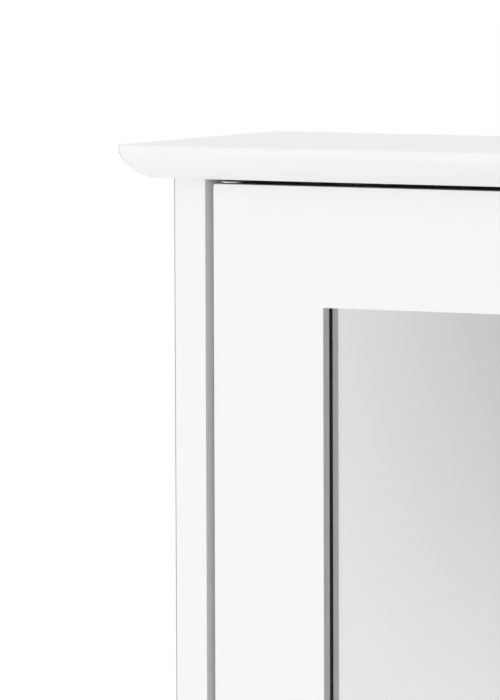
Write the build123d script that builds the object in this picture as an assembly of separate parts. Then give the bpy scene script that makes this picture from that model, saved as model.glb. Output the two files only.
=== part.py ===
from build123d import *
import math
import os

# A mirrored wall cabinet of white painted boards: a moulded top and bottom board, two sides and a back,
# with one inset door that turns on a pin at its top and bottom left corners.
# X runs to the right, the front faces -Y, the wall is the plane Y = 0, and Z is up.
# The origin is on the wall, midway between the two upper wall screws.

# Overall sizes, without the knob
width = 630.0
depth = 160.0
height = 980.0

# Top and bottom boards, with a moulded edge on the front and both ends
board_t = 17.0
overhang = 20.0
moulding_land = 4.0
moulding_inset = 12.0
moulding_bulge = 1.7
moulding_blend = 5.0
moulding_arris = 1.1
moulding_foot = 0.8
moulding_corner = 0.4

# Sides and back panel
side_t = 18.0
side_outer_arris = 0.8
side_inner_arris = 0.3
back_t = 4.0
back_rebate_w = 9.0
back_rebate_h = 9.0
back_clearance = 0.5
back_screw_r = 1.5
back_screw_head_r = 3.0
back_screw_head_h = 1.5
back_screw_length = 16.0
back_screw_end_margin = 60.0
side_screw_count = 5
board_screw_count = 3

# Screw recesses and points, as shares of the screw's own head or radius
recess_reach = 0.55
recess_width = 0.25
recess_depth = 0.6
pan_rounding = 0.6
screw_point = 0.2

# Joints between the boards and the sides
joint_setback = 32.0
dowel_spacing = 25.0
cam_r = 7.5
cam_depth = 12.5
cam_drop = 24.0
cam_slot_w = 1.6
cam_slot_length = 9.0
cam_slot_depth = 2.5
cam_bolt_bore_r = 4.0
cam_bolt_r = 2.5
cam_bolt_head_r = 3.5
cam_bolt_head_h = 4.0
cam_bolt_thread = 11.0
dowel_r = 4.0
dowel_in_board = 10.0
dowel_in_side = 20.0
dowel_chamfer = 0.8

# Wall brackets and their screws
screw_drop = 60.0
wall_screw_spacing = 480.0
wall_hole_r = 3.5
bracket_t = 2.0
bracket_height = 40.0
bracket_depth = 30.0
bracket_end_margin = 13.0
bracket_corner_r = 4.0
bracket_bend_r = 1.0
bracket_screw_spacing = 22.0
bracket_screw_from_back = 18.0
bracket_screw_r = 1.75
bracket_screw_head_r = 3.6
bracket_screw_head_h = 2.2
bracket_screw_length = 14.0

# Glass shelves on pins
shelf_t = 5.0
shelf_depth = 106.0
shelf_count = 3
shelf_side_clearance = 1.0
shelf_back_clearance = 1.0
shelf_edge = 0.8
shelf_corner_r = 6.0
pin_r = 2.5
pin_in_side = 8.0
pin_reach = 9.0
pin_flange_r = 4.5
pin_flange_t = 1.2
spoon_half_w = 3.6
spoon_corner_r = 2.9
pad_t = 1.0
pad_half_w = 2.9
pad_corner_r = 1.4
pin_setback = 18.0
pin_hole_pitch = 32.0
pin_holes_per_shelf = 5

# Door and its gaps
door_t = 18.0
stile_w = 62.0
rail_w = 60.0
side_gap = 4.5
end_gap = 2.5
door_corner_r = 1.5
door_arris = 0.6
sight_arris = 0.3
door_back_arris = 0.5
frame_dowel_r = 4.0
frame_dowel_length = 40.0
frame_dowel_edge = 13.0
frame_dowel_spacing = 26.0

# Mirror, packing, backing board and beads in the door's rebate, from the front to the back
lip_t = 6.2
rebate_w = 9.0
glass_t = 3.0
film_t = 0.2
tape_t = 1.0
tape_w = 19.0
tape_margin = 40.0
tape_count = 4
backing_t = 3.0
glass_clearance = 1.0
backing_clearance = 0.5
glass_edge = 0.4
bead_w = 8.0
bead_arris = 1.0
bead_pin_r = 0.7
bead_pin_head_r = 1.2
bead_pin_head_h = 0.8
bead_pin_length = 15.0
bead_pin_end_margin = 60.0
long_bead_pin_count = 4
short_bead_pin_count = 3
setting_block_length = 30.0
setting_block_inset = 60.0

# Pivots, at the door's top and bottom left corners
pivot_from_edge = 7.0
pivot_from_front = 9.0
pivot_r = 2.5
pivot_length = 9.0
pivot_end_chamfer = 0.6
pivot_shank_r = 3.0
pivot_shank_length = 22.0
pivot_hub_r = 4.2
pivot_disc_r = 6.75
pivot_disc_t = 1.1
pivot_disc_rounding = 0.4
pivot_running_fit = 0.05
upper_thrust_gap = 0.3
lower_thrust_gap = 0.1
bush_r = 4.5
bush_length = 10.0
bush_end_room = 1.0

# Magnetic catches, near the free edge of the door
catch_from_edge = 26.0
catch_length = 46.0
catch_depth = 15.0
catch_height = 16.0
catch_ear_length = 9.0
catch_ear_t = 3.5
catch_corner_r = 1.2
magnet_length = 20.0
magnet_depth = 10.0
magnet_t = 5.0
magnet_drop = 9.0
pole_t = 1.0
catch_gap = 0.3
catch_screw_r = 1.5
catch_screw_head_r = 2.9
catch_screw_head_h = 1.6
catch_screw_length = 13.0
strike_length = 30.0
strike_height = 11.0
strike_t = 1.2
strike_corner_r = 2.0
strike_screw_r = 1.25
strike_screw_head_r = 2.4
strike_screw_length = 12.0

# Knob on the free stile
knob_height = 260.0
knob_r = 14.0
knob_foot_r = 8.0
knob_neck_r = 5.5
knob_neck_at = 7.0
knob_length = 24.0
knob_dome = 3.0
knob_rim_r = 3.0
knob_bore_depth = 14.0
knob_screw_r = 2.0
knob_screw_head_r = 4.0
knob_screw_head_h = 2.4
knob_screw_in_knob = 12.0

# Places worked out from the sizes above
side_top = screw_drop
side_bottom = screw_drop + 2 * board_t - height
top = side_top + board_t
bottom = side_bottom - board_t
middle_z = (top + bottom) / 2
side_outer = width / 2 - overhang
side_inner = side_outer - side_t
side_middle = side_inner + side_t / 2
front = overhang - depth
back_face = -back_t
back_half_w = side_inner + back_rebate_w - back_clearance
back_half_h = (side_top - side_bottom) / 2 + back_rebate_h - back_clearance

door_half_w = side_inner - side_gap
door_half_h = (side_top - side_bottom) / 2 - end_gap
door_back = front + door_t
sight_half_w = door_half_w - stile_w
sight_half_h = door_half_h - rail_w
pocket_half_w = sight_half_w + rebate_w
pocket_half_h = sight_half_h + rebate_w
glass_front = front + lip_t
glass_back = glass_front + glass_t
film_back = glass_back + film_t
tape_back = film_back + tape_t
backing_back = tape_back + backing_t

pivot_x = pivot_from_edge - door_half_w
pivot_y = front + pivot_from_front

upper_row = 0.0
lower_row = 2 * middle_z
wall_screw_x = wall_screw_spacing / 2

middle_plane = Plane.XY.offset(middle_z)
os.makedirs("parts", exist_ok=True)


def block(low, high):
    """A box between two opposite corners."""
    size = [b - a for a, b in zip(low, high)]
    centre = [(a + b) / 2 for a, b in zip(low, high)]
    return Pos(*centre) * Box(*size)


def rod(radius, start, direction, length):
    """A round bar from a point along a direction."""
    place = Plane(origin=start, z_dir=direction)
    return place * Cylinder(radius, length, align=(Align.CENTER, Align.CENTER, Align.MIN))


def tapered_rod(radius, end_radius, start, direction, length):
    """A round bar that changes radius evenly along its length."""
    place = Plane(origin=start, z_dir=direction)
    return place * Cone(radius, end_radius, length, align=(Align.CENTER, Align.CENTER, Align.MIN))


def spread(low, high, count):
    """Evenly spaced places from one end to the other, both ends included."""
    step = (high - low) / (count - 1)
    return [low + step * i for i in range(count)]


def flip_x(shape):
    """The same shape on the other side of the cabinet."""
    return mirror(shape, about=Plane.YZ)


def flip_z(shape):
    """The same shape turned over about the cabinet's middle height."""
    return mirror(shape, about=middle_plane)


def in_corners(shape):
    """A shape made for the top right corner, and its copies in the other three corners."""
    right = [shape, flip_z(shape)]
    return right + [flip_x(one) for one in right]


def group(shapes):
    """Separate solids kept together as one node."""
    solids = [solid for shape in shapes for solid in shape.solids()]
    return Compound(children=solids)


def cross_recess(head_radius, depth):
    """A cross for a screwdriver, cut down from a screw head's top at zero."""
    arm = Box(2 * recess_reach * head_radius, recess_width * head_radius, depth)
    arm = Pos(0, 0, depth / 2) * arm
    return arm + Rot(0, 0, 90) * arm


def wood_screw(radius, head_radius, head_height, start, direction, length):
    """A countersunk screw with its flat head at the start point and a plain cross recess."""
    head = tapered_rod(head_radius, radius, start, direction, head_height)
    shank = rod(radius, start, direction, length - radius)
    tip_at = Vector(*start) + Vector(*direction) * (length - radius)
    tip = tapered_rod(radius, radius * screw_point, tip_at, direction, radius)
    place = Plane(origin=start, z_dir=direction)
    return head + shank + tip - place * cross_recess(head_radius, recess_depth * head_height)


def pan_screw(radius, head_radius, head_height, start, direction, length):
    """A screw with a rounded head behind the start point and its shank ahead of it."""
    head = Cylinder(head_radius, head_height, align=(Align.CENTER, Align.CENTER, Align.MAX))
    rim = head.edges().filter_by(GeomType.CIRCLE).sort_by(Axis.Z)[0]
    head = fillet(rim, pan_rounding * head_height)
    shank = Cylinder(radius, length, align=(Align.CENTER, Align.CENTER, Align.MIN))
    recess = Pos(0, 0, -head_height) * cross_recess(head_radius, recess_depth * head_height)
    return Plane(origin=start, z_dir=direction) * (head + shank - recess)


def wood_screw_hole(radius, head_radius, head_height, start, direction, length):
    """The hole that a countersunk screw fills."""
    head = tapered_rod(head_radius, radius, start, direction, head_height)
    return head + rod(radius, start, direction, length)


# Places of the fasteners, for the top right corner where they repeat in every corner
joint_ys = [front + joint_setback, -joint_setback]
dowel_ys = [front + joint_setback + dowel_spacing, -joint_setback - dowel_spacing]
side_screw_low = side_bottom + back_screw_end_margin
side_screw_high = side_top - back_screw_end_margin
side_screw_zs = spread(side_screw_low, side_screw_high, side_screw_count)
board_screw_reach = side_inner - back_screw_end_margin
board_screw_xs = spread(-board_screw_reach, board_screw_reach, board_screw_count)
side_screw_x = side_inner + back_rebate_w / 2
board_screw_z = side_top + back_rebate_h / 2
shelf_step = (side_top - side_bottom) / (shelf_count + 1)
shelf_zs = [side_bottom + shelf_step * (i + 1) - shelf_t / 2 for i in range(shelf_count)]
shelf_back = back_face - shelf_back_clearance
shelf_front = shelf_back - shelf_depth
pin_ys = [shelf_front + pin_setback, shelf_back - pin_setback]
bracket_screw_zs = [upper_row - bracket_screw_spacing / 2, upper_row + bracket_screw_spacing / 2]
bracket_screw_y = back_face - bracket_screw_from_back
catch_x = door_half_w - catch_from_edge
catch_front = door_back + strike_t + catch_gap
catch_screw_y = catch_front + catch_depth / 2
catch_screw_reach = (catch_length - catch_ear_length) / 2
catch_screw_xs = [catch_x - catch_screw_reach, catch_x + catch_screw_reach]
magnet_z = side_top - magnet_drop
knob_x = door_half_w - stile_w / 2
knob_z = middle_z - door_half_h + knob_height


# Top and bottom boards

def moulded_half_profile(length):
    """Half the section of a moulded board, from the middle out to its moulded edge, with its top at zero."""
    land_end = (length, -moulding_land)
    foot = (length - moulding_inset, -board_t)
    chord = Vector(foot[0] - land_end[0], foot[1] - land_end[1])
    outward = Vector(-chord.Y, chord.X).normalized()
    bulge = Vector((foot[0] + land_end[0]) / 2, (foot[1] + land_end[1]) / 2) + outward * moulding_bulge
    outline = Polyline((length, -moulding_land), (length, 0), (0, 0), (0, -board_t), foot)
    outline += ThreePointArc(foot, bulge, land_end)
    section = make_face(outline)
    land_corner = section.vertices().sort_by_distance((land_end[0], land_end[1], 0))[0]
    section = fillet(land_corner, moulding_blend)
    top_corner = section.vertices().sort_by_distance((length, 0, 0))[0]
    section = fillet(top_corner, moulding_arris)
    foot_corner = section.vertices().sort_by_distance((foot[0], foot[1], 0))[0]
    return fillet(foot_corner, moulding_foot)


def board_blank():
    """The top board without its holes, moulded at the front and both ends."""
    end_section = moulded_half_profile(width / 2)
    end_section += mirror(end_section, about=Plane.YZ)
    along_depth = extrude(Plane.XZ * end_section, amount=depth)
    front_plane = Plane(origin=(0, 0, 0), x_dir=(0, -1, 0), z_dir=(-1, 0, 0))
    along_width = extrude(front_plane * moulded_half_profile(depth), amount=width / 2, both=True)
    board = Pos(0, 0, top) * (along_depth & along_width)
    upright = [edge for edge in board.edges() if edge.bounding_box().size.Z > moulding_arris]
    corner_edges = [edge for edge in upright if edge.center().Y < front]
    return fillet(corner_edges, moulding_corner)


def make_top_board():
    """The top board, with its rebate for the back and the holes in its underside."""
    rebate = block(
        (-side_inner - back_rebate_w, back_face, side_top),
        (side_inner + back_rebate_w, 0, side_top + back_rebate_h),
    )
    cuts = [rebate, rod(bush_r, (pivot_x, pivot_y, side_top), (0, 0, 1), bush_length + bush_end_room)]
    for x in (-side_middle, side_middle):
        cuts += [rod(cam_bolt_r, (x, y, side_top), (0, 0, 1), cam_bolt_thread) for y in joint_ys]
        cuts += [rod(dowel_r, (x, y, side_top), (0, 0, 1), dowel_in_board) for y in dowel_ys]
    for x in board_screw_xs:
        cuts.append(rod(back_screw_r, (x, 0, board_screw_z), (0, -1, 0), back_screw_length))
    screw_depth = catch_screw_length - catch_ear_t
    for x in catch_screw_xs:
        cuts.append(rod(catch_screw_r, (x, catch_screw_y, side_top), (0, 0, 1), screw_depth))
    return board_blank() - cuts


# Sides and back

def make_right_side():
    """The right side, with its rebate, cam bores, dowel holes and rows of shelf pin holes."""
    panel = block((side_inner, front, side_bottom), (side_outer, 0, side_top))
    outer_edge = panel.edges().filter_by(Axis.Z).sort_by_distance((side_outer, front, middle_z))[0]
    panel = fillet(outer_edge, side_outer_arris)
    inner_edge = panel.edges().filter_by(Axis.Z).sort_by_distance((side_inner, front, middle_z))[0]
    panel = fillet(inner_edge, side_inner_arris)
    cuts = [block((side_inner, back_face, side_bottom), (side_inner + back_rebate_w, 0, side_top))]
    for y in joint_ys:
        for cut in (
            rod(cam_r, (side_inner, y, side_top - cam_drop), (1, 0, 0), cam_depth),
            rod(cam_bolt_bore_r, (side_middle, y, side_top - cam_drop), (0, 0, 1), cam_drop),
        ):
            cuts += [cut, flip_z(cut)]
    for y in dowel_ys:
        cut = rod(dowel_r, (side_middle, y, side_top - dowel_in_side), (0, 0, 1), dowel_in_side)
        cuts += [cut, flip_z(cut)]
    for z in side_screw_zs:
        cuts.append(rod(back_screw_r, (side_screw_x, 0, z), (0, -1, 0), back_screw_length))
    for z in bracket_screw_zs:
        length = bracket_screw_length - bracket_t
        cut = rod(bracket_screw_r, (side_inner, bracket_screw_y, z), (1, 0, 0), length)
        cuts += [cut, flip_z(cut)]
    for shelf_z in shelf_zs:
        for step in range(pin_holes_per_shelf):
            z = shelf_z - pad_t - pin_r + pin_hole_pitch * (step - pin_holes_per_shelf // 2)
            cuts += [rod(pin_r, (side_inner, y, z), (1, 0, 0), pin_in_side) for y in pin_ys]
    return panel - cuts


def back_screw_places():
    """Start point of each screw that holds the back panel."""
    places = [(x, 0, z) for x in (-side_screw_x, side_screw_x) for z in side_screw_zs]
    for x in board_screw_xs:
        places += [(x, 0, board_screw_z), (x, 0, 2 * middle_z - board_screw_z)]
    return places


def make_back_panel():
    """The back panel, flush with the wall in a rebate all round, with its screw and wall holes."""
    panel = block(
        (-back_half_w, back_face, middle_z - back_half_h),
        (back_half_w, 0, middle_z + back_half_h),
    )
    sizes = (back_screw_r, back_screw_head_r, back_screw_head_h)
    cuts = [wood_screw_hole(*sizes, place, (0, -1, 0), back_t) for place in back_screw_places()]
    for x in (-wall_screw_x, wall_screw_x):
        cuts += [rod(wall_hole_r, (x, 0, z), (0, -1, 0), back_t) for z in (upper_row, lower_row)]
    return panel - cuts


def make_back_screws():
    """The screws round the back panel."""
    sizes = (back_screw_r, back_screw_head_r, back_screw_head_h)
    return group([wood_screw(*sizes, place, (0, -1, 0), back_screw_length) for place in back_screw_places()])


# Cam fittings and dowels

def make_cam_lock(y):
    """A cam lock in the top right corner: a drum with a bore for the bolt and a cross slot in its face."""
    z = side_top - cam_drop
    drum = rod(cam_r, (side_inner, y, z), (1, 0, 0), cam_depth)
    bore = rod(cam_bolt_bore_r, (side_middle, y, z - cam_bolt_head_h), (0, 0, 1), cam_drop)
    upright = Box(cam_slot_depth, cam_slot_w, cam_slot_length)
    level = Box(cam_slot_depth, cam_slot_length, cam_slot_w)
    cross = Pos(side_inner + cam_slot_depth / 2, y, z) * (upright + level)
    return drum - [bore, cross]


def make_cam_bolt(y):
    """The bolt that a cam lock pulls on, screwed into the board above it."""
    head_z = side_top - cam_drop - cam_bolt_head_h / 2
    head = rod(cam_bolt_head_r, (side_middle, y, head_z), (0, 0, 1), cam_bolt_head_h)
    shank = rod(cam_bolt_r, (side_middle, y, head_z), (0, 0, 1), side_top + cam_bolt_thread - head_z)
    return head + shank


def make_carcass_dowel(y):
    """A wooden dowel between a board and a side."""
    length = dowel_in_side + dowel_in_board
    dowel = rod(dowel_r, (side_middle, y, side_top - dowel_in_side), (0, 0, 1), length)
    return chamfer(dowel.edges().filter_by(GeomType.CIRCLE), dowel_chamfer)


# Wall brackets

def make_bracket():
    """The upper right wall bracket, an angle of steel plate on the side and the back panel."""
    reach = side_inner - wall_screw_x + bracket_end_margin
    low = upper_row - bracket_height / 2
    high = upper_row + bracket_height / 2
    back_leaf = block((side_inner - reach, back_face - bracket_t, low), (side_inner, back_face, high))
    side_leaf = block((side_inner - bracket_t, back_face - bracket_depth, low), (side_inner, back_face, high))
    back_corners = back_leaf.edges().filter_by(Axis.Y).group_by(Axis.X)[0]
    side_corners = side_leaf.edges().filter_by(Axis.X).group_by(Axis.Y)[0]
    angle = fillet(back_corners, bracket_corner_r) + fillet(side_corners, bracket_corner_r)
    bends = angle.edges().filter_by(Axis.Z)
    inner_bend = bends.sort_by_distance((side_inner - bracket_t, back_face - bracket_t, upper_row))[0]
    angle = fillet(inner_bend, bracket_bend_r)
    cuts = [rod(wall_hole_r, (wall_screw_x, back_face, upper_row), (0, -1, 0), bracket_t)]
    for z in bracket_screw_zs:
        start = (side_inner - bracket_t, bracket_screw_y, z)
        cuts.append(rod(bracket_screw_r, start, (1, 0, 0), bracket_t))
    return angle - cuts


def make_bracket_screw(z):
    """A pan head screw that holds the upper right bracket to the side."""
    start = (side_inner - bracket_t, bracket_screw_y, z)
    sizes = (bracket_screw_r, bracket_screw_head_r, bracket_screw_head_h)
    return pan_screw(*sizes, start, (1, 0, 0), bracket_screw_length)


# Shelves

def make_shelf(z):
    """A toughened glass shelf with its underside at a height."""
    half = side_inner - shelf_side_clearance
    plate = block((-half, shelf_front, z), (half, shelf_back, z + shelf_t))
    front_corners = plate.edges().filter_by(Axis.Z).group_by(Axis.Y)[0]
    plate = fillet(front_corners, shelf_corner_r)
    rims = plate.faces().sort_by(Axis.Z)[0].edges() + plate.faces().sort_by(Axis.Z)[-1].edges()
    return chamfer(rims, shelf_edge)


def make_shelf_pin(y, shelf_z):
    """A shelf pin in the right side, with a flange against the side and a flat top for its pad."""
    flat = shelf_z - pad_t
    z = flat - pin_r
    peg = rod(pin_r, (side_inner - pin_reach, y, z), (1, 0, 0), pin_reach + pin_in_side)
    flange = rod(pin_flange_r, (side_inner - pin_flange_t, y, z), (1, 0, 0), pin_flange_t)
    spoon = block(
        (side_inner - pin_reach, y - spoon_half_w, flat - pin_flange_t),
        (side_inner, y + spoon_half_w, flat),
    )
    spoon = fillet(spoon.edges().filter_by(Axis.Z).group_by(Axis.X)[0], spoon_corner_r)
    above = block(
        (side_inner - pin_reach, y - pin_flange_r, flat),
        (side_inner, y + pin_flange_r, flat + pin_flange_r),
    )
    return peg + flange + spoon - above


def make_shelf_pad(y, shelf_z):
    """A clear soft pad between a pin and the glass."""
    low = (side_inner - pin_reach, y - pad_half_w, shelf_z - pad_t)
    high = (side_inner - pin_flange_t, y + pad_half_w, shelf_z)
    pad = block(low, high)
    return fillet(pad.edges().filter_by(Axis.Z), pad_corner_r)


# Door frame

def frame_blank():
    """The whole door frame before it is parted into stiles and rails, with its arrises and its rebate."""
    low = middle_z - door_half_h
    high = middle_z + door_half_h
    slab = block((-door_half_w, front, low), (door_half_w, door_back, high))
    sight = block(
        (-sight_half_w, front, middle_z - sight_half_h),
        (sight_half_w, door_back, middle_z + sight_half_h),
    )
    frame = slab - sight
    frame = fillet(frame.edges().filter_by(Axis.Y).sort_by_distance((0, 0, middle_z))[-4:], door_corner_r)
    frame = fillet(frame.faces().sort_by(Axis.Y)[0].inner_wires()[0].edges(), sight_arris)
    frame = fillet(frame.faces().sort_by(Axis.Y)[0].outer_wire().edges(), door_arris)
    frame = fillet(frame.faces().sort_by(Axis.Y)[-1].outer_wire().edges(), door_back_arris)
    pocket = block(
        (-pocket_half_w, glass_front, middle_z - pocket_half_h),
        (pocket_half_w, door_back, middle_z + pocket_half_h),
    )
    return frame - pocket


def frame_dowel_places():
    """Start point of each dowel across a stile and rail joint, with its length along X."""
    places = []
    for x in (-sight_half_w, sight_half_w):
        for from_edge in (frame_dowel_edge, frame_dowel_edge + frame_dowel_spacing):
            for z in (middle_z + door_half_h - from_edge, middle_z - door_half_h + from_edge):
                places.append((x - frame_dowel_length / 2, front + door_t / 2, z))
    return places


def bead_pin_places():
    """Head place and direction of each pin that holds a bead in the rebate."""
    y = (backing_back + door_back) / 2
    inner_x = pocket_half_w - bead_w
    inner_z = pocket_half_h - bead_w
    reach_x = pocket_half_w - bead_pin_end_margin
    reach_z = pocket_half_h - bead_pin_end_margin
    places = []
    for z in spread(middle_z - reach_z, middle_z + reach_z, long_bead_pin_count):
        places += [((inner_x, y, z), (1, 0, 0)), ((-inner_x, y, z), (-1, 0, 0))]
    for x in spread(-reach_x, reach_x, short_bead_pin_count):
        places += [((x, y, middle_z + inner_z), (0, 0, 1)), ((x, y, middle_z - inner_z), (0, 0, -1))]
    return places


def bead_pin(start, direction):
    """A panel pin with its small head flush in the bead's inner face."""
    head = rod(bead_pin_head_r, start, direction, bead_pin_head_h)
    return head + rod(bead_pin_r, start, direction, bead_pin_length)


def make_frame_members():
    """The two stiles and the two rails, parted at the joints and bored for their dowels and fittings."""
    low = middle_z - door_half_h
    high = middle_z + door_half_h
    cuts = [rod(frame_dowel_r, place, (1, 0, 0), frame_dowel_length) for place in frame_dowel_places()]
    cuts += [bead_pin(start, direction) for start, direction in bead_pin_places()]
    cuts.append(rod(pivot_shank_r, (pivot_x, pivot_y, high), (0, 0, -1), pivot_shank_length))
    cuts.append(rod(pivot_shank_r, (pivot_x, pivot_y, low), (0, 0, 1), pivot_shank_length))
    cuts.append(rod(knob_screw_r, (knob_x, front, knob_z), (0, 1, 0), door_t))
    strike_depth = strike_screw_length - strike_t
    strike_hole = rod(strike_screw_r, (catch_x, door_back, magnet_z), (0, -1, 0), strike_depth)
    cuts += [strike_hole, flip_z(strike_hole)]
    frame = frame_blank() - cuts
    regions = {
        "left_stile": block((-door_half_w, front, low), (-sight_half_w, door_back, high)),
        "right_stile": block((sight_half_w, front, low), (door_half_w, door_back, high)),
        "top_rail": block((-sight_half_w, front, middle_z), (sight_half_w, door_back, high)),
        "bottom_rail": block((-sight_half_w, front, low), (sight_half_w, door_back, middle_z)),
    }
    return {name: frame & region for name, region in regions.items()}


def make_frame_dowels():
    """The wooden dowels across the four frame joints."""
    return group([rod(frame_dowel_r, place, (1, 0, 0), frame_dowel_length) for place in frame_dowel_places()])


# Mirror and what holds it in the door

def pane(clearance, front_y, back_y):
    """A sheet in the door's rebate, with a clearance all round."""
    half_w = pocket_half_w - clearance
    half_h = pocket_half_h - clearance
    return block((-half_w, front_y, middle_z - half_h), (half_w, back_y, middle_z + half_h))


def make_mirror_glass():
    """The mirror's float glass, with its edges ground."""
    sheet = pane(glass_clearance, glass_front, glass_back)
    return chamfer(sheet.edges(), glass_edge)


def make_mirror_tape():
    """Strips of double-sided foam tape between the mirror's film and the backing board."""
    half_h = pocket_half_h - glass_clearance - tape_margin
    outer = pocket_half_w - glass_clearance - tape_margin
    strips = []
    for x in spread(-outer, outer, tape_count):
        low = (x - tape_w / 2, film_back, middle_z - half_h)
        high = (x + tape_w / 2, tape_back, middle_z + half_h)
        strips.append(block(low, high))
    return group(strips)


def make_setting_blocks():
    """Plastic blocks that the mirror's lower edge stands on."""
    low = middle_z - pocket_half_h
    blocks = []
    for side in (-1, 1):
        centre = side * (pocket_half_w - setting_block_inset)
        start = (centre - setting_block_length / 2, glass_front, low)
        end = (centre + setting_block_length / 2, glass_back, low + glass_clearance)
        blocks.append(block(start, end))
    return group(blocks)


def make_beads():
    """The four beads, the upright ones running the whole height of the rebate."""
    low = middle_z - pocket_half_h
    high = middle_z + pocket_half_h
    inner = pocket_half_w - bead_w
    right = block((inner, backing_back, low), (pocket_half_w, door_back, high))
    upper = block((-inner, backing_back, high - bead_w), (inner, door_back, high))
    right_arris = right.edges().filter_by(Axis.Z).sort_by_distance((inner, door_back, middle_z))[0]
    upper_arris = upper.edges().filter_by(Axis.X).sort_by_distance((0, door_back, high - bead_w))[0]
    right = fillet(right_arris, bead_arris)
    upper = fillet(upper_arris, bead_arris)
    pins = [bead_pin(start, direction) for start, direction in bead_pin_places()]
    beads = {"right_bead": right, "left_bead": flip_x(right), "top_bead": upper, "bottom_bead": flip_z(upper)}
    return {name: bead - pins for name, bead in beads.items()}


# Pivots

def make_pivot_pin(door_end, direction, hub_length):
    """A turned pin: shank in the door's end, disc seated on it, hub in the gap, journal in the bush."""
    up = (0, 0, direction)
    seat = (pivot_x, pivot_y, door_end)
    shank_start = (pivot_x, pivot_y, door_end - direction * pivot_shank_length)
    shank = rod(pivot_shank_r, shank_start, up, pivot_shank_length)
    hub = rod(pivot_hub_r, seat, up, hub_length)
    disc = rod(pivot_disc_r, seat, up, pivot_disc_t)
    disc = fillet(disc.edges().filter_by(GeomType.CIRCLE), pivot_disc_rounding)
    journal = rod(pivot_r, seat, up, end_gap + pivot_length)
    tip = journal.edges().filter_by(GeomType.CIRCLE).sort_by(Axis.Z)[-1 if direction > 0 else 0]
    journal = chamfer(tip, pivot_end_chamfer)
    return shank + hub + disc + journal


def make_upper_bush():
    """The bush in the top board that the upper pin turns in."""
    start = (pivot_x, pivot_y, side_top)
    sleeve = rod(bush_r, start, (0, 0, 1), bush_length)
    return sleeve - rod(pivot_r + pivot_running_fit, start, (0, 0, 1), bush_length)


# Magnetic catch and strike plate, for the top of the door

def magnet_box(extra):
    """The space of the magnet and its pole plates, with some room above and below."""
    half_l = magnet_length / 2
    half_h = magnet_t / 2 + extra
    return block(
        (catch_x - half_l, catch_front, magnet_z - half_h),
        (catch_x + half_l, catch_front + magnet_depth, magnet_z + half_h),
    )


def make_catch_housing():
    """The catch's moulded housing, with an ear at each end for its screws and a pocket for the magnet."""
    half = catch_length / 2
    back = catch_front + catch_depth
    ears = block((catch_x - half, catch_front, side_top - catch_ear_t), (catch_x + half, back, side_top))
    ears = fillet(ears.edges().filter_by(Axis.Z), catch_corner_r)
    body_half = half - catch_ear_length
    body = block(
        (catch_x - body_half, catch_front, side_top - catch_height),
        (catch_x + body_half, back, side_top),
    )
    body = fillet(body.edges().filter_by(Axis.Y).group_by(Axis.Z)[0], catch_corner_r)
    cuts = [magnet_box(pole_t)]
    for x in catch_screw_xs:
        cuts.append(rod(catch_screw_r, (x, catch_screw_y, side_top - catch_ear_t), (0, 0, 1), catch_ear_t))
    return ears + body - cuts


def make_catch_poles():
    """The two steel pole plates above and below the magnet."""
    return group([magnet_box(pole_t) - magnet_box(0)])


def make_catch_screw(x):
    """A pan head screw up through the catch's ear into the top board."""
    start = (x, catch_screw_y, side_top - catch_ear_t)
    sizes = (catch_screw_r, catch_screw_head_r, catch_screw_head_h)
    return pan_screw(*sizes, start, (0, 0, 1), catch_screw_length)


def make_strike():
    """The steel strike plate on the back of the door."""
    half_l = strike_length / 2
    half_h = strike_height / 2
    plate = block(
        (catch_x - half_l, door_back, magnet_z - half_h),
        (catch_x + half_l, door_back + strike_t, magnet_z + half_h),
    )
    plate = fillet(plate.edges().filter_by(Axis.Y), strike_corner_r)
    start = (catch_x, door_back + strike_t, magnet_z)
    return plate - wood_screw_hole(strike_screw_r, strike_screw_head_r, strike_t, start, (0, -1, 0), strike_t)


def make_strike_screw():
    """The countersunk screw that holds a strike plate."""
    start = (catch_x, door_back + strike_t, magnet_z)
    return wood_screw(strike_screw_r, strike_screw_head_r, strike_t, start, (0, -1, 0), strike_screw_length)


# Knob

def make_knob():
    """The turned knob, with a waist behind a domed head."""
    crown_r = knob_r - knob_rim_r
    crown_at = knob_length - knob_dome
    dome_r = (crown_r**2 + knob_dome**2) / (2 * knob_dome)
    half_turn = math.asin(crown_r / dome_r) / 2
    dome_middle = (dome_r * math.sin(half_turn), knob_length - dome_r * (1 - math.cos(half_turn)))
    waist_end = (crown_r, crown_at - 2 * knob_rim_r)
    outline = Line((0, 0), (knob_foot_r, 0))
    outline += ThreePointArc((knob_foot_r, 0), (knob_neck_r, knob_neck_at), waist_end)
    outline += ThreePointArc(waist_end, (knob_r, crown_at - knob_rim_r), (crown_r, crown_at))
    outline += ThreePointArc((crown_r, crown_at), dome_middle, (0, knob_length))
    outline += Line((0, knob_length), (0, 0))
    turned = revolve(Plane.XZ * make_face(outline), Axis.Z)
    knob = Plane(origin=(knob_x, front, knob_z), z_dir=(0, -1, 0)) * turned
    return knob - rod(knob_screw_r, (knob_x, front, knob_z), (0, -1, 0), knob_bore_depth)


def make_knob_screw():
    """The machine screw from inside the door into the knob."""
    sizes = (knob_screw_r, knob_screw_head_r, knob_screw_head_h)
    return pan_screw(*sizes, (knob_x, door_back, knob_z), (0, -1, 0), door_t + knob_screw_in_knob)


# All the nodes

top_board = make_top_board()
right_side = make_right_side()
bracket = make_bracket()
housing = make_catch_housing()
magnet = magnet_box(0)
poles = make_catch_poles()
upper_bush = make_upper_bush()
catch_screws = [make_catch_screw(x) for x in catch_screw_xs]
strike = make_strike()
strike_screw = make_strike_screw()

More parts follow.
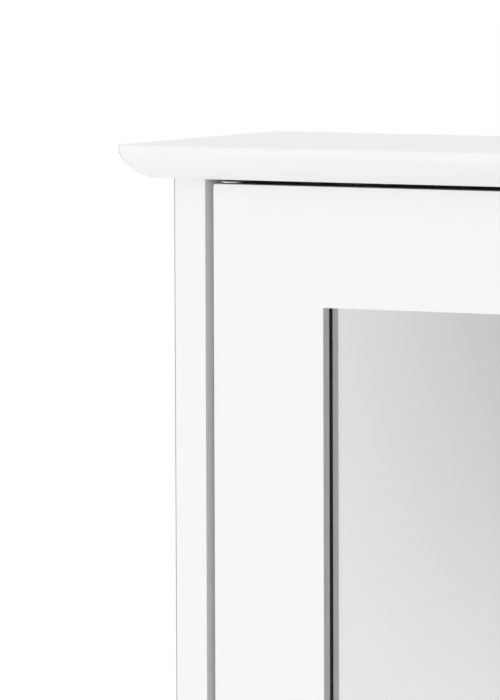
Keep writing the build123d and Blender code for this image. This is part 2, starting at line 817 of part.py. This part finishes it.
nodes = {
    "top_board": top_board,
    "bottom_board": flip_z(top_board),
    "right_side": right_side,
    "left_side": flip_x(right_side),
    "back_panel": make_back_panel(),
    "back_panel_screws": make_back_screws(),
    "cam_locks": group([one for y in joint_ys for one in in_corners(make_cam_lock(y))]),
    "cam_bolts": group([one for y in joint_ys for one in in_corners(make_cam_bolt(y))]),
    "carcass_dowels": group([one for y in dowel_ys for one in in_corners(make_carcass_dowel(y))]),
    "upper_right_bracket": bracket,
    "upper_left_bracket": flip_x(bracket),
    "lower_right_bracket": flip_z(bracket),
    "lower_left_bracket": flip_x(flip_z(bracket)),
    "bracket_screws": group([one for z in bracket_screw_zs for one in in_corners(make_bracket_screw(z))]),
    "upper_pivot_bush": upper_bush,
    "lower_pivot_bush": flip_z(upper_bush),
    "upper_catch_housing": housing,
    "lower_catch_housing": flip_z(housing),
    "upper_catch_magnet": magnet,
    "lower_catch_magnet": flip_z(magnet),
    "upper_catch_poles": poles,
    "lower_catch_poles": flip_z(poles),
    "catch_screws": group(catch_screws + [flip_z(one) for one in catch_screws]),
    "frame_dowels": make_frame_dowels(),
    "mirror_glass": make_mirror_glass(),
    "mirror_film": pane(glass_clearance, glass_back, film_back),
    "mirror_tape": make_mirror_tape(),
    "backing_board": pane(backing_clearance, tape_back, backing_back),
    "setting_blocks": make_setting_blocks(),
    "bead_pins": group([bead_pin(start, direction) for start, direction in bead_pin_places()]),
    "upper_pivot_pin": make_pivot_pin(middle_z + door_half_h, 1, end_gap - upper_thrust_gap),
    "lower_pivot_pin": make_pivot_pin(middle_z - door_half_h, -1, end_gap - lower_thrust_gap),
    "strike_plates": group([strike, flip_z(strike)]),
    "strike_screws": group([strike_screw, flip_z(strike_screw)]),
    "knob": make_knob(),
    "knob_screw": make_knob_screw(),
}
nodes.update(make_frame_members())
nodes.update(make_beads())

shelf_names = ["lower_shelf", "middle_shelf", "upper_shelf"]
for name, z in zip(shelf_names, shelf_zs):
    nodes[name] = make_shelf(z)
shelf_pins = [make_shelf_pin(y, z) for y in pin_ys for z in shelf_zs]
shelf_pads = [make_shelf_pad(y, z) for y in pin_ys for z in shelf_zs]
nodes["shelf_pins"] = group(shelf_pins + [flip_x(one) for one in shelf_pins])
nodes["shelf_pads"] = group(shelf_pads + [flip_x(one) for one in shelf_pads])

for name, shape in nodes.items():
    export_step(shape, f"parts/{name}.step")
print(len(nodes), "nodes")
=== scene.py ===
from math import pi, radians

import bmesh
import bpy
from mathutils import Matrix, Vector


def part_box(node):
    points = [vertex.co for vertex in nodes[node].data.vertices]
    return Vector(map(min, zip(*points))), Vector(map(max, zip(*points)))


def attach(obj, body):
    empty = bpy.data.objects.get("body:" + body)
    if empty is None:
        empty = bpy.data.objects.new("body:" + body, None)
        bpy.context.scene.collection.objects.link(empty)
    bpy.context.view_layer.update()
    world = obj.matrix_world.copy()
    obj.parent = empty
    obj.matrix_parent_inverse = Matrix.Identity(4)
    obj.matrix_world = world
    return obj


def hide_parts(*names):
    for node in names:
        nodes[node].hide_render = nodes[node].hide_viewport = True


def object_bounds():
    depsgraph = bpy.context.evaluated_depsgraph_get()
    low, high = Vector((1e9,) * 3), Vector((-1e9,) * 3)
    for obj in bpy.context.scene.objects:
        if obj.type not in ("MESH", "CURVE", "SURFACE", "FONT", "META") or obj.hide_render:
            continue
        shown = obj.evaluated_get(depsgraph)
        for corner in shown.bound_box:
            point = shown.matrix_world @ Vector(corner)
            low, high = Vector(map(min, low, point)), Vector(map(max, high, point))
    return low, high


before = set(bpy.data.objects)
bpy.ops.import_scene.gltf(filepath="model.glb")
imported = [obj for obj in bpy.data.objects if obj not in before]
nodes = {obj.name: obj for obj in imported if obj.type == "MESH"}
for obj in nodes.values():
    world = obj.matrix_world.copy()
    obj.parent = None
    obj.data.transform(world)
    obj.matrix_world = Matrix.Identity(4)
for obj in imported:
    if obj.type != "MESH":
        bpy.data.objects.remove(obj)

scene = bpy.context.scene
scene.view_settings.view_transform = "Standard"
cad_low, cad_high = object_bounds()


# Camera. It stands three metres from the cabinet's top left corner, to the right of it and a little above,
# and has a long lens, so that the corner alone fills the picture.
camera_place = (1.1952, -2.7500, 0.2184)
yaw, pitch, roll = radians(29.004), radians(4.658), radians(-0.2)

camera = bpy.data.objects.new("camera", bpy.data.cameras.new("camera"))
camera.data.sensor_width = 36
camera.data.lens = 310.3
camera.data.clip_end = 100
heading = Matrix.Rotation(yaw, 4, "Z") @ Matrix.Rotation(pi / 2 - pitch, 4, "X")
camera.matrix_world = Matrix.Translation(camera_place) @ heading @ Matrix.Rotation(roll, 4, "Z")
scene.collection.objects.link(camera)
scene.camera = camera


# Studio. A white room lights the cabinet, more from the left than from the right and a little more from the
# front, and falls off towards its far left and right. What the camera, metal and glass see of it is plain
# white.
class Wire:
    """One output of a shader node, and the tree that it is in. Sums and products of wires add Math nodes."""

    def __init__(self, tree, socket=None):
        self.tree = tree
        self.socket = socket

    def add(self, kind, settings, inputs, output=0):
        """Adds a node, sets it up, fills its sockets with values or wires, and returns the named output."""
        node = self.tree.nodes.new(kind)
        for name, value in settings.items():
            setattr(node, name, value)
        for name, value in inputs.items():
            if isinstance(value, Wire):
                self.tree.links.new(value.socket, node.inputs[name])
            else:
                node.inputs[name].default_value = value
        return Wire(self.tree, node.outputs[output] if node.outputs else None)

    def other(self, output):
        """Another output of the same node."""
        return Wire(self.tree, self.socket.node.outputs[output])

    def math(self, operation, *values):
        return self.add("ShaderNodeMath", {"operation": operation}, dict(enumerate(values)))

    def __add__(self, value):
        return self.math("ADD", self, value)

    def __mul__(self, value):
        return self.math("MULTIPLY", self, value)

    def __sub__(self, value):
        return self.math("SUBTRACT", self, value)

    def __rsub__(self, value):
        return self.math("SUBTRACT", value, self)

    def __gt__(self, value):
        return self.math("GREATER_THAN", self, value)

    def __lt__(self, value):
        return self.math("LESS_THAN", self, value)

    __radd__ = __add__
    __rmul__ = __mul__

    def axis(self, name):
        """The X, Y or Z of this place or direction."""
        return self.add("ShaderNodeSeparateXYZ", {}, {0: self}, name)

    def rise(self, start, end):
        """Goes smoothly from 0 to 1 as this value goes from start to end."""
        ends = {"Value": self, "From Min": start, "From Max": end}
        return self.add("ShaderNodeMapRange", {"interpolation_type": "SMOOTHSTEP"}, ends)

    def noise(self, scale, detail=2.0):
        """Noise on this place, with about `scale` lumps to the metre."""
        return self.add("ShaderNodeTexNoise", {}, {"Vector": self, "Scale": scale, "Detail": detail})

    def blend(self, first, second):
        """The first colour where this value is 0, and the second where it is 1."""
        return self.add("ShaderNodeMix", {"data_type": "RGBA"}, {0: self, 6: first, 7: second}, 2)

    def stretch(self, x, y, z):
        """This place with its directions scaled: a pattern is drawn out where the number is small."""
        return self.add("ShaderNodeMapping", {}, {"Vector": self, "Scale": (x, y, z)})

    def bump(self, depth, strength=1.0):
        """A normal for this height, which is `depth` metres deep."""
        sizes = {"Height": self, "Distance": depth, "Strength": strength}
        return self.add("ShaderNodeBump", {}, sizes, "Normal")


def rgb(red, green, blue):
    return (red, green, blue, 1.0)


def seen_directly(wire):
    """1 for what the camera sees, also in a mirror and through glass, and 0 for the light on a surface."""
    camera_ray = wire.add("ShaderNodeLightPath", {}, {}, "Is Camera Ray")
    reflected = camera_ray.other("Is Glossy Ray")
    passed = camera_ray.other("Is Transmission Ray")
    return camera_ray.math("MAXIMUM", camera_ray.math("MAXIMUM", camera_ray, reflected), passed)


room_level = 1.245
room_left_share = 0.5
room_front_share = 0.10
room_low_share = 0.08

room = bpy.data.worlds.new("studio")
room.use_nodes = True
room.node_tree.nodes.clear()
scene.world = room
direction = Wire(room.node_tree).add("ShaderNodeTexCoord", {}, {}, "Generated")
sideways = direction.axis("X")
backwards = direction.axis("Y")
upwards = direction.axis("Z")
ends = (1 - sideways * sideways) * (1 - room_left_share * sideways)
light = room_level * ends * (1 - room_front_share * backwards - room_low_share * upwards)
seen = seen_directly(direction)
strength = light + seen * (1 - light)
background = direction.add("ShaderNodeBackground", {}, {"Color": rgb(1, 1, 1), "Strength": strength})
direction.add("ShaderNodeOutputWorld", {}, {"Surface": background})


facing_share = 0.5


def new_finish(name):
    """An empty material, and the place on the piece that its nodes start from."""
    material = bpy.data.materials.new(name)
    material.use_nodes = True
    material.node_tree.nodes.clear()
    return material, Wire(material.node_tree).add("ShaderNodeTexCoord", {}, {}, "Object")


def looks_along(normal, axis):
    """1 on the faces that look along this axis, and 0 on the others."""
    return normal.axis(axis) > facing_share


def cover(place, shader):
    place.add("ShaderNodeOutputMaterial", {}, {"Surface": shader})


def new_piece(name, mesh, material):
    """Makes an object of a bmesh whose place is in its points, and gives it its material."""
    data = bpy.data.meshes.new(name)
    mesh.to_mesh(data)
    mesh.free()
    data.materials.append(material)
    piece = bpy.data.objects.new(name, data)
    scene.collection.objects.link(piece)
    return piece


# Floor. A round pale board just under the cabinet, white round the cabinet's soft shadow, and all white at
# its rim, so that it runs into the background.
floor_radius = 0.8
floor_sides = 96
floor_gap = 0.0005
floor_glow = 0.55
white_from = 0.55 * floor_radius
all_white_from = 0.95 * floor_radius

floor_paint, place = new_finish("pale_floor")
from_middle = place.add("ShaderNodeVectorMath", {"operation": "LENGTH"}, {0: place.stretch(1, 1, 0)}, "Value")
mottle = place.noise(40).blend(rgb(0.49, 0.49, 0.49), rgb(0.51, 0.51, 0.51))
lit = place.add("ShaderNodeBsdfDiffuse", {}, {"Color": mottle})
glow = place.add("ShaderNodeEmission", {}, {"Color": rgb(1, 1, 1), "Strength": floor_glow})
board = place.add("ShaderNodeAddShader", {}, {0: lit, 1: glow})
white = place.add("ShaderNodeEmission", {}, {"Color": rgb(1, 1, 1), "Strength": 1.0})
rim = from_middle.rise(white_from, all_white_from)
cover(place, place.add("ShaderNodeMixShader", {}, {0: rim, 1: board, 2: white}))

disc = bmesh.new()
bmesh.ops.create_circle(disc, cap_ends=True, segments=floor_sides, radius=floor_radius)
bmesh.ops.translate(disc, verts=disc.verts, vec=(0, cad_low.y / 2, cad_low.z - floor_gap))
new_piece("floor", disc, floor_paint)


# Grey cards. One stands in front of the cabinet and one at its right, where only glass and metal show them.
# The soft lower left edge of the front one is the slow change from light to darker grey across the mirror.
card_y = -2.0
card_x = 2.2
card_height = 3.2
card_low = -0.9
card_grey = 0.44
side_grey = 0.30
card_left_edge = (-1.42, -0.88)
card_lower_edge = (-0.72, -0.10)
card_upper_edge = (2.2, 1.4)

card_paint, place = new_finish("grey_card")
across = place.axis("X").rise(*card_left_edge)
up_and_down = place.axis("Z").rise(*card_lower_edge) * place.axis("Z").rise(*card_upper_edge)
depth_of_grey = card_grey + side_grey * place.axis("Y").rise(card_y, card_y / 2)
brightness = 1 - across * up_and_down * depth_of_grey
cover(place, place.add("ShaderNodeEmission", {}, {"Color": rgb(1, 1, 1), "Strength": brightness}))


def stand_card(name, width, turn, x, y):
    """An upright card, turned about its own middle and then moved to its place."""
    sheet = bmesh.new()
    bmesh.ops.create_grid(sheet, x_segments=1, y_segments=1, size=0.5)
    bmesh.ops.scale(sheet, verts=sheet.verts, vec=(width, card_height, 1))
    bmesh.ops.rotate(sheet, verts=sheet.verts, matrix=Matrix.Rotation(pi / 2, 3, "X"))
    bmesh.ops.rotate(sheet, verts=sheet.verts, matrix=Matrix.Rotation(turn, 3, "Z"))
    bmesh.ops.translate(sheet, verts=sheet.verts, vec=(x, y, card_low + card_height / 2))
    card = new_piece(name, sheet, card_paint)
    card.visible_camera = False
    card.visible_diffuse = False
    card.visible_shadow = False
    card.visible_volume_scatter = False


stand_card("front_card", 2 * card_x, 0, 0, card_y)
stand_card("side_card", -card_y, pi / 2, card_x, card_y / 2)


# Boards and sides. Fibreboard, moulded along the front and the ends of the top and bottom boards, and
# sprayed with white satin paint. Grey is painted on the rounded outer upright edges as painted shade, which
# draws a dark outline there.
def give(material, *names):
    """Gives the frame's nodes of these names this material."""
    for name in names:
        for slot in nodes[name].material_slots:
            slot.material = material


def white_tone(place):
    """The barely uneven white of the sprayed paint."""
    return place.noise(8).blend(rgb(0.918, 0.919, 0.914), rgb(0.938, 0.937, 0.929))


def spray(place, colour, peel):
    """Satin paint in this colour, whose orange peel has about `peel` lumps to the metre."""
    paint = {
        "Base Color": colour,
        "Roughness": 0.34 + 0.14 * place.noise(60),
        "Normal": place.noise(peel).bump(0.00002, 0.6),
    }
    cover(place, place.add("ShaderNodeBsdfPrincipled", {}, paint))


# Grey for painted shade on the boards' outer edges and on the door's ends.
painted_shade_grey = rgb(0.20, 0.20, 0.20)
orange_peel = 700
edge_shade_from = 0.002
full_edge_shade_from = 0.03

board_paint, place = new_finish("white_satin_paint")
facing = place.other("Normal")
corner = facing.axis("X") * facing.axis("Y")
outward = facing.axis("X") * place.axis("X") > 0
# Painted shade: rounded edges turned partly toward the outside of the cabinet are coloured grey.
painted_edge_shade = (corner * corner).rise(edge_shade_from, full_edge_shade_from) * outward
spray(place, painted_edge_shade.blend(white_tone(place), painted_shade_grey), orange_peel)
give(board_paint, "top_board", "bottom_board", "left_side", "right_side")


# Back panel. Hardboard, let into a rebate and screwed, with a white foil on the side that shows in the
# cabinet and its own brown face to the wall.
def fibre_tone(place):
    """The uneven brown of pressed wood fibre."""
    fibre = 0.6 * place.noise(900, 4) + 0.4 * place.noise(90)
    return fibre.blend(rgb(0.27, 0.17, 0.10), rgb(0.58, 0.43, 0.29))


lining, place = new_finish("foil_faced_hardboard")
wall_face = looks_along(place.other("Normal"), "Y")
foil_tone = place.noise(12).blend(rgb(0.88, 0.88, 0.87), rgb(0.91, 0.91, 0.90))
weave = place.stretch(1, 1, 0.25).noise(1500)
board = {
    "Base Color": wall_face.blend(foil_tone, fibre_tone(place)),
    "Roughness": 0.42 + 0.4 * wall_face,
    "Normal": (weave * (1 + 2 * wall_face)).bump(0.00003),
}
cover(place, place.add("ShaderNodeBsdfPrincipled", {}, board))
give(lining, "back_panel")


# Screws, cam fittings and dowels. The screws are bright zinc plated steel, the cams die-cast zinc with a
# sandy skin, and the dowels beech. All are inside the boards but for the screws on the back panel.
def plated_metal(name, dark, bright, roughness, grain):
    """Metal with a skin of small uneven crystals, `grain` of them to the metre."""
    material, place = new_finish(name)
    crystals = place.add("ShaderNodeTexVoronoi", {}, {"Vector": place, "Scale": grain}, "Color")
    tone = crystals.add("ShaderNodeSeparateColor", {}, {0: crystals}, "Red")
    wear = place.noise(220, 3)
    skin = {
        "Base Color": (0.6 * tone + 0.4 * wear).blend(dark, bright),
        "Metallic": 1.0,
        "Roughness": roughness + 0.16 * wear,
        "Normal": place.noise(2 * grain).bump(0.00001, 0.5),
    }
    cover(place, place.add("ShaderNodeBsdfPrincipled", {}, skin))
    return material


zinc_plate = plated_metal(
    "bright_zinc_plate", rgb(0.64, 0.66, 0.69), rgb(0.80, 0.81, 0.82), roughness=0.22, grain=900
)
zinc_casting = plated_metal(
    "die_cast_zinc", rgb(0.52, 0.53, 0.54), rgb(0.66, 0.67, 0.68), roughness=0.42, grain=1800
)
give(zinc_plate, "back_panel_screws", "cam_bolts")
give(zinc_casting, "cam_locks")


def beech(name, along):
    """Bare beech with its grain and short flecks drawn out in one direction."""
    material, place = new_finish(name)
    grain = place.stretch(*along).noise(1400, 3)
    flecks = place.stretch(*along).noise(4000, 1).rise(0.60, 0.68)
    ground = grain.blend(rgb(0.72, 0.53, 0.34), rgb(0.84, 0.68, 0.49))
    wood = {
        "Base Color": flecks.blend(ground, rgb(0.56, 0.38, 0.22)),
        "Roughness": 0.5 + 0.15 * grain,
        "Normal": grain.bump(0.00004),
    }
    cover(place, place.add("ShaderNodeBsdfPrincipled", {}, wood))
    return material


give(beech("beech_upright", along=(1, 1, 0.06)), "carcass_dowels")


# Wall brackets. Bent steel plate with a hole for the wall screw, zinc plated after bending and screwed to
# the sides.
give(zinc_plate, "upper_right_bracket", "upper_left_bracket", "lower_right_bracket", "lower_left_bracket")
give(zinc_plate, "bracket_screws")


# Shelves. Toughened glass, green where it is looked at through its ground edges, on plated pins with clear
# pads.
glass_ior = 1.52
pad_ior = 1.48


def ground_glass(name, thickness_axis, face_tint, edge_tint):
    """Clear glass, rough and greener on the edges that are ground all round its two faces."""
    material, place = new_finish(name)
    across_sheet = place.other("Normal").axis(thickness_axis)
    ground = 1 - (across_sheet * across_sheet).rise(0.5, 0.9)
    glass = {
        "Base Color": ground.blend(face_tint, edge_tint),
        "Roughness": 0.3 * ground,
        "IOR": glass_ior,
        "Transmission Weight": 1.0,
        "Normal": (ground * place.noise(2500)).bump(0.00002, 0.5),
    }
    cover(place, place.add("ShaderNodeBsdfPrincipled", {}, glass))
    return material


shelf_glass = ground_glass("shelf_glass", "Z", rgb(0.965, 0.985, 0.975), rgb(0.62, 0.86, 0.76))
give(shelf_glass, "upper_shelf", "middle_shelf", "lower_shelf")
give(zinc_plate, "shelf_pins")

clear_pad, place = new_finish("clear_soft_plastic")
cloudy = place.noise(700)
pad = {
    "Base Color": cloudy.blend(rgb(0.86, 0.88, 0.88), rgb(0.93, 0.94, 0.94)),
    "Roughness": 0.18 + 0.2 * cloudy,
    "IOR": pad_ior,
    "Transmission Weight": 0.8,
}
cover(place, place.add("ShaderNodeBsdfPrincipled", {}, pad))
give(clear_pad, "shelf_pads")


# Catches. White moulded housings, screwed to the top and bottom boards, hold a ferrite magnet between two
# steel pole plates.
def moulded_plastic(name, first, second, spark):
    """Moulded plastic with the fine matt texture of its tool, `spark` pits of it to the metre."""
    material, place = new_finish(name)
    texture = place.noise(spark, 3)
    plastic = {
        "Base Color": place.noise(50).blend(first, second),
        "Roughness": 0.38 + 0.2 * texture,
        "Normal": texture.bump(0.00003, 0.7),
    }
    cover(place, place.add("ShaderNodeBsdfPrincipled", {}, plastic))
    return material


catch_plastic = moulded_plastic(
    "white_moulded_plastic", rgb(0.87, 0.87, 0.85), rgb(0.91, 0.91, 0.89), spark=2500
)
ferrite = moulded_plastic("sintered_ferrite", rgb(0.09, 0.09, 0.10), rgb(0.15, 0.15, 0.16), spark=1200)
give(catch_plastic, "upper_catch_housing", "lower_catch_housing")
give(ferrite, "upper_catch_magnet", "lower_catch_magnet")
give(zinc_plate, "upper_catch_poles", "lower_catch_poles", "catch_screws")


# Bushes. Natural nylon, turned from rod and pressed into the top and bottom boards for the pivot pins to
# turn in.
nylon = moulded_plastic("natural_nylon", rgb(0.87, 0.86, 0.81), rgb(0.91, 0.90, 0.86), spark=1500)
give(nylon, "upper_pivot_bush", "lower_pivot_bush")


# Door frame. Two stiles and two rails, dowelled and glued, sanded flush and sprayed as one with the same
# paint. Grey on the top and bottom ends is painted shade for the dark gaps above and below the door, and
# black on the back of the lip is painted shade for the rebate behind the glass.
rebate_shade_black = rgb(0.012, 0.014, 0.012)
lip_back_limit = -0.130
gap_shade_depth = 0.002

frame_paint, place = new_finish("white_frame_paint")
facing = place.other("Normal")
# Painted shade: the back faces of the lip, behind the glass, are coloured black for the shade in the rebate.
rebate_shaded = looks_along(facing, "Y") * (place.axis("Y") < lip_back_limit)
stile_low, stile_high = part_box("left_stile")
# Painted shade: the frame's top and bottom end faces are coloured grey so that the gaps read dark.
at_top = place.axis("Z") > stile_high.z - gap_shade_depth
at_bottom = place.axis("Z") < stile_low.z + gap_shade_depth
painted_gap_shade = (at_top + at_bottom) * (facing.axis("Z") * facing.axis("Z") > facing_share)
painted = rebate_shaded.blend(white_tone(place), rebate_shade_black)
spray(place, painted_gap_shade.blend(painted, painted_shade_grey), orange_peel)
give(frame_paint, "left_stile", "right_stile", "top_rail", "bottom_rail")
give(beech("beech_lengthways", along=(0.06, 1, 1)), "frame_dowels")


# Mirror. Float glass three millimetres thick with ground edges, silvered on its back, so that the frame's
# lip shows again beyond a dark line as thick as the glass.
edge_grinding = 0.0004
coat_gap = 0.00001
coat_thickness = 0.00004


def pane(low, high, chamfer):
    """A bmesh of a flat upright sheet between two corners, with its edges chamfered where that isn't 0."""
    mesh = bmesh.new()
    bmesh.ops.create_grid(mesh, x_segments=1, y_segments=1, size=0.5)
    bmesh.ops.rotate(mesh, verts=mesh.verts, matrix=Matrix.Rotation(pi / 2, 3, "X"))
    bmesh.ops.scale(mesh, verts=mesh.verts, vec=(high.x - low.x, 1, high.z - low.z))
    bmesh.ops.translate(mesh, verts=mesh.verts, vec=((low.x + high.x) / 2, low.y, (low.z + high.z) / 2))
    thick = bmesh.ops.extrude_face_region(mesh, geom=mesh.faces[:])
    back = [part for part in thick["geom"] if isinstance(part, bmesh.types.BMVert)]
    bmesh.ops.translate(mesh, verts=back, vec=(0, high.y - low.y, 0))
    if chamfer:
        rim = {"offset": chamfer, "affect": "EDGES", "segments": 1, "profile": 0.5, "material": -1}
        bmesh.ops.bevel(mesh, geom=mesh.edges[:], **rim)
    bmesh.ops.recalc_face_normals(mesh, faces=mesh.faces[:])
    return mesh


def mirror_piece(name, low, high, chamfer, material):
    piece = new_piece(name, pane(low, high, chamfer), material)
    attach(piece, "door")
    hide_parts("mirror_glass")


mirror_glass = ground_glass("mirror_glass", "Y", rgb(0.962, 0.978, 0.966), rgb(0.45, 0.66, 0.57))

silver, place = new_finish("silver_coat")
silvering = {
    "Base Color": place.noise(3).blend(rgb(0.890, 0.890, 0.885), rgb(0.900, 0.900, 0.896)),
    "Metallic": 1.0,
    "Roughness": 0.0,
}
cover(place, place.add("ShaderNodeBsdfPrincipled", {}, silvering))

mirror_low, mirror_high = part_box("mirror_glass")
coat_front = mirror_high.y - coat_thickness
glass_high = Vector((mirror_high.x, coat_front - coat_gap, mirror_high.z))
coat_low = Vector((mirror_low.x, coat_front, mirror_low.z))
mirror_piece("mirror_glass_pane", mirror_low, glass_high, edge_grinding, mirror_glass)
mirror_piece("mirror_silver_coat", coat_low, mirror_high, 0, silver)


# Packing of the mirror, from the front to the back: a safety film, strips of foam tape, a hardboard panel,
# and painted beads pinned round it. The glass stands on two nylon blocks.
film, place = new_finish("safety_film")
scrim = place.noise(1200, 3)
backing_film = {
    "Base Color": scrim.blend(rgb(0.50, 0.53, 0.55), rgb(0.60, 0.63, 0.65)),
    "Roughness": 0.35 + 0.2 * scrim,
    "Normal": scrim.bump(0.00003),
}
cover(place, place.add("ShaderNodeBsdfPrincipled", {}, backing_film))
give(film, "mirror_film")

foam, place = new_finish("foam_tape")
cells = place.add("ShaderNodeTexVoronoi", {}, {"Vector": place, "Scale": 2500}, "Distance")
tape = {
    "Base Color": cells.blend(rgb(0.84, 0.84, 0.81), rgb(0.92, 0.92, 0.90)),
    "Roughness": 0.7 + 0.2 * cells,
    "Normal": cells.bump(0.0001),
}
cover(place, place.add("ShaderNodeBsdfPrincipled", {}, tape))
give(foam, "mirror_tape")

hardboard, place = new_finish("brown_hardboard")
mesh_print = place.noise(1400, 3)
panel = {
    "Base Color": fibre_tone(place),
    "Roughness": 0.62 + 0.25 * mesh_print,
    "Normal": mesh_print.bump(0.00006),
}
cover(place, place.add("ShaderNodeBsdfPrincipled", {}, panel))
give(hardboard, "backing_board")

give(nylon, "setting_blocks")
give(frame_paint, "left_bead", "right_bead", "top_bead", "bottom_bead")
give(zinc_plate, "bead_pins")


# Pivot pins. Turned steel, nickel plated, driven into the door's ends up to a disc that shows in the gap.
# The narrower hub beyond it is coloured black as painted shade, so that the disc's rim stands out against
# dark.
shaded_hub_share = 0.66

nickel, place = new_finish("nickel_plate")
pin_low, pin_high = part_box("upper_pivot_pin")
pin_axis = (pin_low + pin_high) / 2
disc_radius = (pin_high.x - pin_low.x) / 2
place_and_axis = {0: place.stretch(1, 1, 0), 1: (pin_axis.x, pin_axis.y, 0)}
from_axis = place.add("ShaderNodeVectorMath", {"operation": "DISTANCE"}, place_and_axis, "Value")
# Painted shade: the hub near the pin's axis is black and not metal.
painted_hub_shade = from_axis < shaded_hub_share * disc_radius
turning = place.stretch(1, 1, 12).noise(900)
steel = turning.blend(rgb(0.85, 0.84, 0.82), rgb(0.93, 0.92, 0.90))
pin = {
    "Base Color": painted_hub_shade.blend(steel, rgb(0.03, 0.03, 0.03)),
    "Metallic": 1 - painted_hub_shade,
    "Roughness": 0.12 + 0.14 * turning + 0.3 * painted_hub_shade,
    "Normal": turning.bump(0.00001, 0.4),
}
cover(place, place.add("ShaderNodeBsdfPrincipled", {}, pin))
give(nickel, "upper_pivot_pin", "lower_pivot_pin")


# Strike plates and knob. The plates meet the catches; the knob is turned beech under the same paint, with a
# screw from the back of the stile.
give(zinc_plate, "strike_plates", "strike_screws", "knob_screw")
knob_paint, place = new_finish("white_knob_paint")
spray(place, white_tone(place), peel=1100)
give(knob_paint, "knob")
